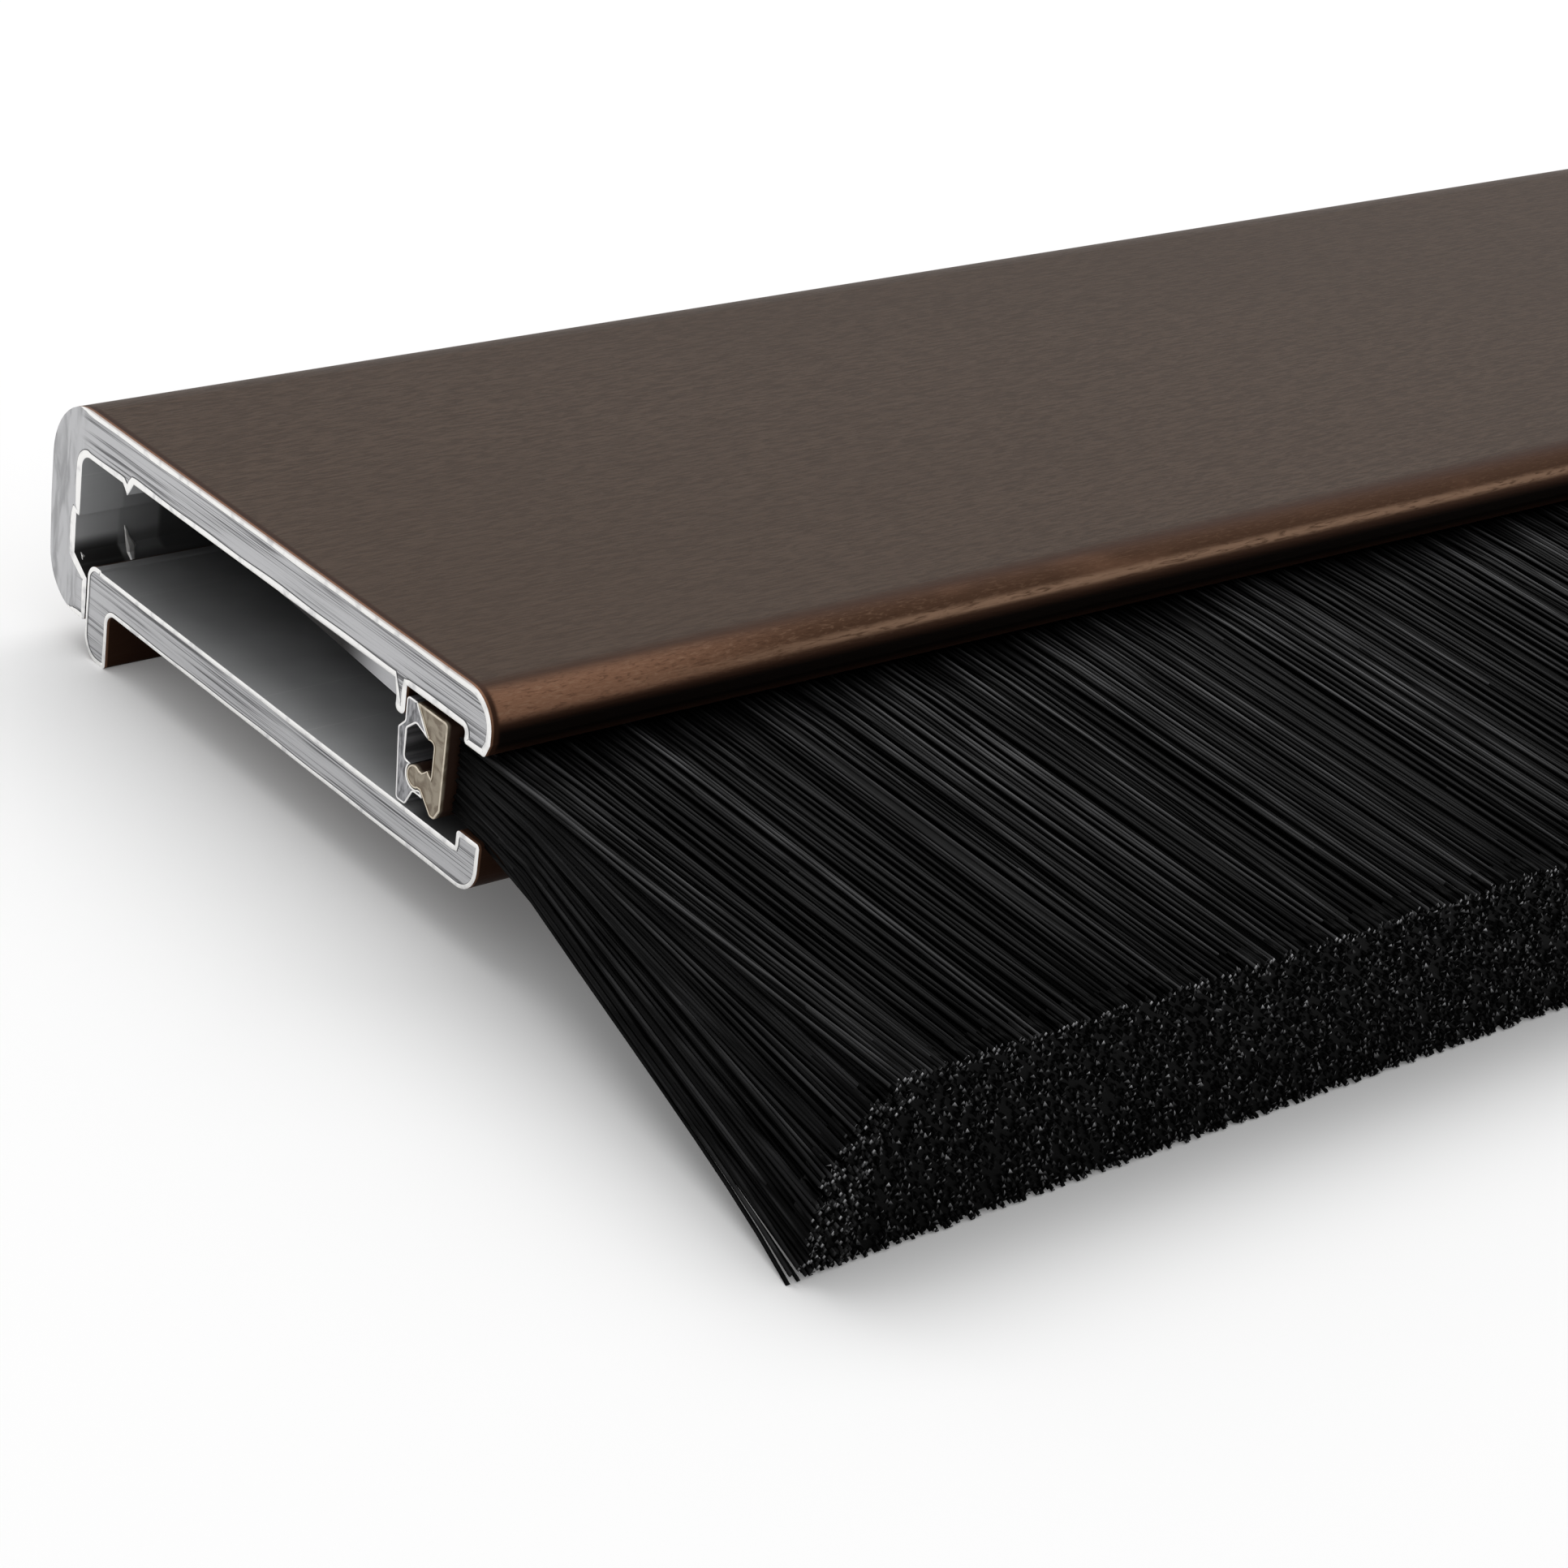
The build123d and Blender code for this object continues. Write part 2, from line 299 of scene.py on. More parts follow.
class SweepColours(bpy.types.PropertyGroup):
    """Colours of the finishes."""

    bronze: colour("Bronze", "Anodised outside", 76, 64, 55)
    bronze_dark: colour("Bronze grain", "Darker grain of the anodising", 62, 51, 43)
    # Copper: random patches on the lip, a painted reflection on the lip near the cut ends, and a thin line by
    # the sawn edges
    copper: colour("Copper", "Lip of the cover near its cut ends", 120, 88, 69)
    brown: colour("Brown", "Lip of the cover along the strip", 72, 51, 38)
    # Tan: the lip's pale specks, and the line down the lip, which is a painted highlight
    tan: colour("Tan", "Worn line and flecks of the lip", 136, 108, 88)
    # Umber: the lip's dark specks; elsewhere painted shade and painted dark reflection, by the sawn edges,
    # down the lip, on the low sides and on the backing
    umber: colour("Umber", "Dark bands beside the sawn edge and the lip", 52, 34, 25)
    shade: colour("Shade", "Foot of the lip and the sides under it", 14, 10, 8)
    sawn: colour("Sawn metal", "Bare metal of the cut ends", 192, 192, 194)
    sawn_dark: colour("Saw marks", "Dark streaks of the cut ends", 84, 84, 86)
    rim: colour("Rim", "Bright burr round the cut ends", 250, 249, 247)
    channel: colour("Channel", "Dull inside of the channel", 194, 195, 196)
    holder: colour("Holder", "Mill finish of the brush holder", 172, 172, 175)
    backing: colour("Backing", "Strip that the bristles are set in", 158, 147, 129)
    backing_dark: colour("Backing grain", "Darker grain of the backing", 118, 104, 86)
    backing_rim: colour("Backing rim", "Pale rim of the backing", 214, 204, 186)
    ramp: colour("Ramp", "Cut end of the plate's ramp by the tab", 176, 176, 178)
    bristle: colour("Bristle", "Black filaments", 4, 4, 4)
    # Pale bristle: what the random tones, painted highlights and painted shade of the bristles mix towards
    bristle_pale: colour("Pale bristle", "The palest filaments", 88, 88, 89)
    glint: colour("Glint", "The brightest cut tips", 214, 214, 216)
    floor: colour("Floor", "Studio floor", 244, 244, 244)


class Nodes:
    """A node tree under construction."""

    def __init__(self, tree):
        self.tree = tree

    def put(self, socket, value):
        """Link a node's output to a socket, or set the socket to a value."""
        if isinstance(value, bpy.types.NodeSocket):
            self.tree.links.new(value, socket)
        elif socket.type == "RGBA":
            socket.default_value = (*value, 1.0)
        else:
            socket.default_value = value

    def add(self, kind, inputs=None, **settings):
        """Add a node, with its settings and with its inputs set or linked."""
        made = self.tree.nodes.new(kind)
        for key, value in settings.items():
            setattr(made, key, value)
        for key, value in (inputs or {}).items():
            self.put(made.inputs[key], value)
        return made

    def math(self, operation, first, *others):
        """One arithmetic operation, over two or more values in turn or on a single one."""
        for other in others or (0.0,):
            first = self.add("ShaderNodeMath", {0: first, 1: other}, operation=operation).outputs[0]
        return first

    def times(self, *values):
        """Product of values."""
        return self.math("MULTIPLY", *values)

    def most(self, *values):
        """Greatest of values."""
        return self.math("MAXIMUM", *values)

    def minus(self, whole, part):
        """One value less another."""
        return self.math("SUBTRACT", whole, part)

    def step(self, value, start, stop, most=1.0, least=0.0):
        """Smooth step of a value, from the least at start to the most at stop."""
        inputs = {"Value": value, "From Min": start, "From Max": stop, "To Min": least, "To Max": most}
        made = self.add("ShaderNodeMapRange", inputs, interpolation_type="SMOOTHSTEP")
        return made.outputs["Result"]

    def over(self, value, band, most=1.0, least=0.0):
        """Smooth step of a length over a band, which is given in millimetres."""
        return self.step(value, band[0] * MM, band[1] * MM, most, least)

    def seen(self):
        """Value that is 1 for what the eye, a reflection or a clear piece shows, and 0 for soft light."""
        path = self.add("ShaderNodeLightPath").outputs
        return self.most(path["Is Camera Ray"], path["Is Glossy Ray"], path["Is Transmission Ray"])


class Finish(Nodes):
    """One node material under construction."""

    def __init__(self, name):
        self.material = bpy.data.materials.new(name)
        self.material.use_nodes = True
        super().__init__(self.material.node_tree)
        self.shader = self.tree.nodes["Principled BSDF"]
        self.place = self.add("ShaderNodeTexCoord").outputs["Object"]
        self.x, self.y, self.z = self.add("ShaderNodeSeparateXYZ", {0: self.place}).outputs

    def from_end(self):
        """Distance from the nearer cut end."""
        return self.minus(half_length, self.math("ABSOLUTE", self.x))

    def from_rear(self):
        """Distance from the cover's rear face."""
        return self.minus(cover_high.y, self.y)

    def below_top(self):
        """Distance below the cover's top."""
        return self.minus(cover_high.z, self.z)

    def noise(self, grain, detail=2.0, warp=0.0):
        """Noise whose features are as long as grain, in millimetres along X, Y and Z."""
        scale = [1.0 / (size * MM) for size in grain]
        place = self.add("ShaderNodeVectorMath", {0: self.place, 1: scale}, operation="MULTIPLY").outputs[0]
        inputs = {"Vector": place, "Scale": 1.0, "Detail": detail, "Distortion": warp}
        return self.add("ShaderNodeTexNoise", inputs).outputs["Fac"]

    def mix(self, share, a, b):
        """Colour from a to b."""
        made = self.add("ShaderNodeMix", data_type="RGBA")
        values = {"Factor_Float": share, "A_Color": a, "B_Color": b}
        for socket in made.inputs:
            if socket.identifier in values:
                self.put(socket, values[socket.identifier])
        return next(socket for socket in made.outputs if socket.identifier == "Result_Color")

    def attribute(self, name):
        """Value of a piece's own attribute."""
        return self.add("ShaderNodeAttribute", attribute_name=name).outputs["Fac"]

    def bump(self, height, depth):
        """Bump the surface by a height, as deep as depth in millimetres."""
        inputs = {"Height": height, "Strength": BUMP_STRENGTH, "Distance": depth * MM}
        self.set(Normal=self.add("ShaderNodeBump", inputs).outputs["Normal"])

    def set(self, **sockets):
        """Set or link the shader's sockets, named with _ for a space."""
        for key, value in sockets.items():
            self.put(self.shader.inputs[key.replace("_", " ")], value)


def lip_bands(made, tint, flecks, from_end, below_top):
    """Colour down the rolled lip: brown, or copper in random patches and as a painted reflection near the cut
    ends, with tan and umber specks, then a painted tan highlight line, then painted shade in umber and black.
    """
    patches = made.noise((11.0, 4.0, 4.0))
    specks = made.noise((0.5, 0.12, 0.12), detail=3.0, warp=0.6)
    # copper in random patches, and as a painted reflection near the cut ends
    copper_tone_and_reflection = made.most(made.step(patches, 0.5, 0.68, 0.6), made.over(from_end, COPPER_REFLECTION_RUN))
    body = made.mix(copper_tone_and_reflection, tint.brown, tint.copper)
    depth = made.over(from_end, SPECK_RUN, 0.42, 0.12)
    body = made.mix(made.times(made.step(specks, 0.53, 0.68), depth), body, tint.tan)
    body = made.mix(made.times(made.step(specks, 0.47, 0.32), depth), body, tint.umber)
    # painted highlight: a tan line part way down the lip, broken by the flecks
    line = made.times(made.over(below_top, HIGHLIGHT_LINE_TOP), made.over(below_top, HIGHLIGHT_LINE_FOOT))
    line = made.times(line, made.step(flecks, 0.25, 0.55), made.over(from_end, HIGHLIGHT_LINE_RUN))
    body = made.mix(line, body, tint.tan)
    # painted shade towards the lip's foot: umber, then black
    body = made.mix(made.over(below_top, LIP_LOWER_SHADE), body, tint.umber)
    return made.mix(made.over(below_top, LIP_SHADE), body, tint.shade)


def bronze_finish(tint):
    """Bronze anodising: short fine grain, a painted dark reflection and a copper line by the sawn edges,
    painted reflection, highlight and shade in bands down the lip, and painted shade on the low sides.
    """
    made = Finish("bronze_anodised")
    flecks = made.noise((1.3, 0.16, 0.16), detail=3.0, warp=0.8)
    drift = made.noise((60.0, 14.0, 14.0))
    from_end, below_top = made.from_end(), made.below_top()
    from_front = made.minus(made.y, cover_low.y)
    body = made.mix(made.step(flecks, 0.36, 0.64), tint.bronze_dark, tint.bronze)
    body = made.mix(made.step(drift, 0.3, 0.8, 0.35), body, tint.bronze_dark)
    # painted dark reflection in umber where the top rolls over into the lip
    body = made.mix(made.over(from_front, LIP_TOP_DARK_REFLECTION, 0.8), body, tint.umber)
    body = made.mix(made.over(from_front, LIP), body, lip_bands(made, tint, flecks, from_end, below_top))
    # painted shade in umber on the low sides, such as the hook and the leg, but not on the rear face
    sides = made.times(made.over(below_top, LOW_SIDE_SHADE), made.over(made.from_rear(), BEFORE_REAR))
    body = made.mix(sides, body, tint.umber)
    # painted dark reflection in umber along the rounded edges by each cut end
    body = made.mix(made.over(from_end, END_EDGE_DARK_REFLECTION), body, tint.umber)
    body = made.mix(made.over(from_end, COPPER_EDGE), body, tint.copper)
    made.set(Base_Color=body, Metallic=0.35, Roughness=0.45, Specular_IOR_Level=0.15)
    made.set(Specular_Tint=tint.tan)
    made.bump(flecks, 0.03)
    return made.material


def ramp_mask(made, sizes):
    """Part of a cut end that is the plate's ramp by the tab."""
    below = made.minus(cover_high.z - sizes.plate, made.z)
    depth = made.times(made.over(below, RAMP_TOP), made.step(below, RAMP_LOWEST * sizes.ramp, sizes.ramp))
    foot = made.step(made.y, sizes.ramp_foot + RAMP_BEHIND, sizes.ramp_foot)
    return made.times(depth, foot, made.over(made.y, RAMP_FRONT))


def sawn_finish(tint, sizes):
    """Bare sawn metal: fine dark lines along the plates, smears down the rear wall, and a plain ramp that
    fades into painted shade further back.
    """
    made = Finish("sawn_metal")
    fine = made.noise((5.0, 16.0, 0.07), warp=0.15)
    broad = made.noise((5.0, 9.0, 0.4), warp=0.3)
    smears = made.noise((5.0, 0.7, 3.0), detail=4.0, warp=0.7)
    wall = made.over(made.from_rear(), SAWN_WALL)
    plate = made.minus(1.0, wall)
    lines = made.times(made.step(fine, 0.54, 0.4), made.step(broad, 0.66, 0.38, 0.95), plate)
    body = made.mix(lines, tint.sawn, tint.sawn_dark)
    body = made.mix(made.times(made.step(smears, 0.42, 0.68, 0.42), wall), body, tint.sawn_dark)
    # painted shade: the ramp's plain grey fades to shade further back
    ramp = made.mix(made.over(made.y, RAMP_SHADE_FADE), tint.ramp, tint.shade)
    body = made.mix(ramp_mask(made, sizes), body, ramp)
    made.set(Base_Color=body, Metallic=0.8, Roughness=0.45)
    made.bump(made.math("ADD", fine, smears), 0.03)
    return made.material


def rim_finish(name, bright, worn, inner, top_edge):
    """Bright burr, worn in places, with another colour where it ends and on the cover's top edge."""
    made = Finish(name)
    wear = made.noise((0.9, 0.9, 0.9), detail=3.0)
    body = made.mix(made.step(wear, 0.5, 0.75, 0.7), bright, worn)
    body = made.mix(made.over(made.below_top(), TOP_EDGE, 0.5), body, top_edge)
    body = made.mix(made.step(made.attribute("across"), 0.82, 0.92), body, inner)
    made.set(Base_Color=body, Metallic=0.75, Roughness=0.4)
    return made.material


def channel_finish(tint):
    """Dull metal inside the channel: faint drawn lines, painted shade deep inside, on the floor towards the
    rear, on the rear wall and by the brush, and a painted black shadow at its foot.

    The foot is the lower part of the rear wall and the jaw's slope near the cut ends.
    """
    made = Finish("dull_channel")
    lines = made.noise((60.0, 0.3, 0.3), detail=3.0)
    cloud = made.noise((3.0, 3.0, 2.0))
    from_end = made.from_end()
    # painted shade: the channel's colour, dimmed
    dim = tuple(PAINTED_SHADE_SHARE * part for part in tint.channel)
    body = made.mix(made.step(lines, 0.6, 0.75, 0.15), tint.channel, tint.rim)
    # painted shade deep inside, away from the cut ends, starting at a clouded line
    deep = made.math("ADD", from_end, made.times(cloud, SHADE_CLOUD_REACH * MM))
    body = made.mix(made.over(deep, DEEP_SHADE_RUN), body, dim)
    # painted shade on the channel's floor towards the rear
    floor = made.times(made.over(made.y, FLOOR_SHADE_REAR, 0.55), made.over(made.z, FLOOR_SHADE_LEVEL))
    body = made.mix(floor, body, dim)
    # painted shade on the rear wall's foot near the cut ends, on the jaw's slope, by the brush, and on the
    # wall further in
    wall = made.over(made.from_rear(), INNER_WALL_SHADE)
    near = made.over(from_end, NEAR_SHADE_RUN)
    shaded_low_wall = made.times(made.over(made.z, WALL_FOOT_SHADE), wall, near)
    slope = made.times(made.over(made.y, SLOPE_SHADE_RUN), made.over(made.z, SLOPE_SHADE_LEVEL))
    past = made.most(made.times(made.minus(1.0, near), 0.25), made.over(from_end, FAR_SHADE_RUN))
    dark = made.most(shaded_low_wall, slope, made.over(made.y, BRUSH_SIDE_SHADE), made.times(past, wall))
    body = made.mix(made.times(dark, 0.96), body, dim)
    # painted black shadow at the rear wall's foot and on the jaw's slope near the cut ends
    foot = made.most(shaded_low_wall, made.times(slope, near))
    body = made.mix(made.times(foot, 0.85), body, tint.shade)
    made.set(Base_Color=body, Metallic=0.3, Roughness=0.5)
    made.bump(lines, 0.01)
    return made.material


def holder_finish(tint):
    """Plain mill finish of the thin holder."""
    made = Finish("mill_holder")
    lines = made.noise((6.0, 0.25, 0.6), detail=3.0, warp=0.4)
    body = made.mix(made.step(lines, 0.3, 0.75), tint.holder, tint.sawn_dark)
    made.set(Base_Color=body, Metallic=0.8, Roughness=0.45)
    made.bump(lines, 0.02)
    return made.material


def backing_finish(tint):
    """Tan strip, marbled, with painted shade in umber on all but its cut ends."""
    made = Finish("tan_backing")
    marble = made.noise((1.6, 1.1, 1.1), detail=4.0, warp=1.6)
    body = made.mix(made.step(marble, 0.4, 0.62), tint.backing, tint.backing_dark)
    # painted shade in umber on the backing, on all but its cut ends
    body = made.mix(made.over(made.from_end(), BACKING_SIDE_SHADE), body, tint.umber)
    made.set(Base_Color=body, Metallic=0.2, Roughness=0.45)
    made.bump(marble, 0.03)
    return made.material


def bristle_finish(tint):
    """Black filaments, each with a random tone of its own plus painted highlights and shade, and a glint on
    some of the cut tips.
    """
    made = Finish("black_bristle")
    along = made.noise((0.6, 7.0, 0.6))
    share = made.times(made.attribute("shade"), made.step(along, 0.2, 0.7))
    body = made.mix(share, tint.bristle, tint.bristle_pale)
    body = made.mix(made.attribute("glint"), body, tint.glint)
    made.set(Base_Color=body, Roughness=0.35, Specular_IOR_Level=0.03)
    return made.material


def mesh_of(node):
    """Mesh of a CAD node."""
    return frame["nodes"][node].data


def read(items, name, width, kind=float):
    """One property of many mesh items, as an array (items, width)."""
    values = np.empty(len(items) * width, dtype=kind)
    items.foreach_get(name, values)
    return values.reshape(-1, width)


def paint(node, *choices):
    """Give a node its materials: a first one all over, then pairs of a material and its own polygons."""
    mesh = mesh_of(node)
    mesh.materials.clear()
    index = np.zeros(len(mesh.polygons), dtype=np.int32)
    for number, choice in enumerate(choices):
        material, chosen = choice if isinstance(choice, tuple) else (choice, None)
        mesh.materials.append(material)
        if chosen is not None:
            index[chosen] = number
    mesh.polygons.foreach_set("material_index", index)


def cut_ends(node):
    """Which polygons of a node lie on its two cut ends."""
    return np.abs(read(mesh_of(node).polygons, "normal", 3)[:, 0]) > FACING


def facing_channel(node):
    """Which polygons of a node look into the channel: close to its box, and turned to its middle."""
    centre, normal = (read(mesh_of(node).polygons, name, 3)[:, 1:] for name in ("center", "normal"))
    low, high = channel_low[1:] - CHANNEL_BEFORE[node], channel_high[1:] + CHANNEL_PAST
    near = ((centre > low) & (centre < high)).all(axis=1)
    turned = ((channel_low + channel_high)[1:] / 2 - centre) * normal
    return near & (turned.sum(axis=1) > 0) & ~cut_ends(node)


def add_piece(name, points, faces, material, values=None, flat=()):
    """New mesh piece from points (n, 3) and face arrays (m, corners), with point or corner values by name."""
    mesh = bpy.data.meshes.new(name)
    sides = np.concatenate([np.full(len(group), group.shape[1]) for group in faces])
    corners = np.concatenate([group.ravel() for group in faces]).astype(np.int32)
    starts = np.concatenate([[0], np.cumsum(sides)[:-1]]).astype(np.int32)
    smooth = np.concatenate([np.full(len(group), i not in flat) for i, group in enumerate(faces)])
    mesh.vertices.add(len(points))
    mesh.vertices.foreach_set("co", np.ascontiguousarray(points, dtype=np.float32).ravel())
    mesh.loops.add(len(corners))
    mesh.loops.foreach_set("vertex_index", corners)
    mesh.polygons.add(len(sides))
    mesh.polygons.foreach_set("loop_start", starts)
    mesh.update(calc_edges=True)
    mesh.polygons.foreach_set("use_smooth", smooth)
    for key, column in (values or {}).items():
        domain = "POINT" if len(column) == len(points) else "CORNER"
        mesh.attributes.new(key, "FLOAT", domain).data.foreach_set("value", column.astype(np.float32))
    mesh.materials.append(material)
    piece = bpy.data.objects.new(name, mesh)
    bpy.context.scene.collection.objects.link(piece)
    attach(piece, BODY)
    return piece


def skin(points):
    """Closed skins over rings of points (pieces, rings, corners, 3): quads between rings, and both caps."""
    pieces, rings, corners = points.shape[:3]
    index = np.arange(pieces * rings * corners).reshape(pieces, rings, corners)
    here, there = index[:, :-1], index[:, 1:]
    quads = np.stack([here, np.roll(here, -1, 2), np.roll(there, -1, 2), there], axis=-1)
    return points.reshape(-1, 3), [quads.reshape(-1, 4), index[:, 0, ::-1], index[:, -1]]


def tubes(paths, radius, sides, turn=np.pi / 2):
    """Rings of tubes along paths (pieces, rings, 3): path + radius (cos a, 0, sin a), from turn on."""
    angle = turn + np.arange(sides) * 2 * np.pi / sides
    spoke = np.stack([np.cos(angle), np.zeros(sides), np.sin(angle)], axis=-1)
    return paths[:, :, None] + radius[:, None, None, None] * spoke


def section_edges(node, end):
    """Outline of a node's cut end as directed edges: corners (n, 2) in Y and Z, starts and stops."""
    mesh = mesh_of(node)
    triangles = read(mesh.loops, "vertex_index", 1, np.int32).reshape(-1, 3)
    section = read(mesh.vertices, "co", 3)[triangles]
    on_end = (np.abs(section[:, :, 0] - end * half_length) < ON_END).all(axis=1)
    keys = np.round(section[on_end][:, :, 1:].reshape(-1, 2) / GRID).astype(np.int64)
    corners, numbers = np.unique(keys, axis=0, return_inverse=True)
    starts = numbers.reshape(-1, 3)
    stops = np.roll(starts, -1, axis=1)
    there, back = starts * len(corners) + stops, stops * len(corners) + starts
    outer = ~np.isin(there, back)
    return corners * GRID, starts[outer], stops[outer]


def unit(vectors):
    """Vectors (n, 2) at unit length."""
    return vectors / np.maximum(np.linalg.norm(vectors, axis=1, keepdims=True), TINY)


def room_inside(points, inward, starts, stops, width):
    """How far each point can go inward, up to its width, before another edge is nearer than its own.

    The points that such steps reach are all those within the width of the outline.
    """
    span = stops - starts
    squared = np.maximum((span**2).sum(axis=1), TINY)
    reach = np.zeros(len(points))
    open_way = np.ones(len(points), dtype=bool)
    for share in np.linspace(1 / ROOM_STEPS, 1, ROOM_STEPS):
        step = width * share
        there = points + step[:, None] * inward
        offset = there[:, None] - starts[None]
        along = np.clip((offset * span).sum(axis=2) / squared, 0, 1)
        gap = np.linalg.norm(offset - along[..., None] * span, axis=2).min(axis=1)
        open_way &= gap > step - ROOM_SLACK * width
        reach = np.where(open_way, step, reach)
    return reach


def outline_points(node, end):
    """Points along a node's cut end: places and inward normals (n, 2), followers, and ends of the edges."""
    corners, starts, stops = section_edges(node, end)
    first, last = corners[starts], corners[stops]
    side = unit(last - first)
    inward = end * np.stack([-side[:, 1], side[:, 0]], axis=1)
    bisector = np.zeros_like(corners)
    np.add.at(bisector, starts, inward)
    np.add.at(bisector, stops, inward)
    pieces = np.maximum(1, np.ceil(np.linalg.norm(last - first, axis=1) / RIM_STEP)).astype(int)
    heads = np.concatenate([[0], np.cumsum(pieces)[:-1]])
    edge = np.repeat(np.arange(len(starts)), pieces)
    count = np.arange(len(edge)) - heads[edge]
    points = first[edge] + (last - first)[edge] * (count / pieces[edge])[:, None]
    normal = np.where((count == 0)[:, None], unit(bisector)[starts[edge]], inward[edge])
    edge_at = np.empty(len(corners), dtype=int)
    edge_at[starts] = np.arange(len(starts))
    following = np.arange(len(edge)) + 1
    following[heads + pieces - 1] = heads[edge_at[stops]]
    return points, normal, following, (first, last)


def leave_ramp(points, normal, sizes):
    """Move the points of the plate's ramp, in place, up to the line of the plate's underside."""
    below = cover_high.z - sizes.plate - points[:, 1]
    along_ramp = (points[:, 0] > RAMP_BEGIN) & (points[:, 0] < sizes.ramp_foot)
    under = (below > RAMP_LEAST) & (below < sizes.ramp) & (normal[:, 1] > FACING)
    thick = along_ramp & under
    points[thick] += below[thick, None] * (0, 1)
    normal[thick] = (0, 1)


def rim_widths(points, normal, width):
    """Uneven width of a rim: on the rear wall wider inside, and nothing on the rear face."""
    rear = np.clip((points[:, 0] - cover_high.y + WALL_BEGIN) / WALL_BLEND, 0, 1)
    wobble = 1 + sum(share * np.sin(points @ rate) for share, rate in RIM_WAVES)
    return width * wobble * (1 + rear * np.clip(3 * normal[:, 0], -1, WALL_WIDER))


def rim_strip(node, end, width, sizes):
    """Rounded burr round one cut end: outline + s reach inward, raised by burr sqrt(1 - (2s - 1)^2)."""
    points, normal, following, edges = outline_points(node, end)
    leave_ramp(points, normal, sizes)
    widths = rim_widths(points, normal, width)
    reach = room_inside(points, normal, *edges, widths)
    inside = points[:, None] + RIM_ROWS[:, None] * (reach[:, None] * normal)[:, None]
    raised = half_length + sizes.burr * np.sqrt(np.maximum(0.0, 1 - (2 * RIM_ROWS - 1) ** 2))
    rows = np.concatenate([np.broadcast_to(end * raised[:, None], (*inside.shape[:2], 1)), inside], axis=2)
    index = np.arange(inside[..., 0].size).reshape(inside.shape[:2])
    near, far = index[:, :-1], index[:, 1:]
    quads = np.stack([near, near[following], far[following], far], axis=-1)
    quads = quads[np.maximum(reach, reach[following]) > RIM_LEAST].reshape(-1, 4)
    across = (reach / np.maximum(widths, TINY))[:, None] * RIM_ROWS
    return rows.reshape(-1, 3), quads, across.ravel()


def add_rim(node, width, sizes, material):
    """Rims round both cut ends of a node, as one piece."""
    near, far = (rim_strip(node, end, width, sizes) for end in (-1, 1))
    quads = np.concatenate([near[1], far[1] + len(near[0])])
    points, across = np.concatenate([near[0], far[0]]), np.concatenate([near[2], far[2]])
    used, numbers = np.unique(quads, return_inverse=True)
    faces = [numbers.reshape(-1, 4)]
    return add_piece(node + "_rim", points[used], faces, material, {"across": across[used]})


def waves(place, table):
    """Sum of height sin(rate place + start), with the heights in millimetres."""
    return MM * sum(height * np.sin(rate * place + start) for height, rate, start in table)


def between(ends, share):
    """Value at a share of the way between two ends."""
    return ends[0] + (ends[1] - ends[0]) * share


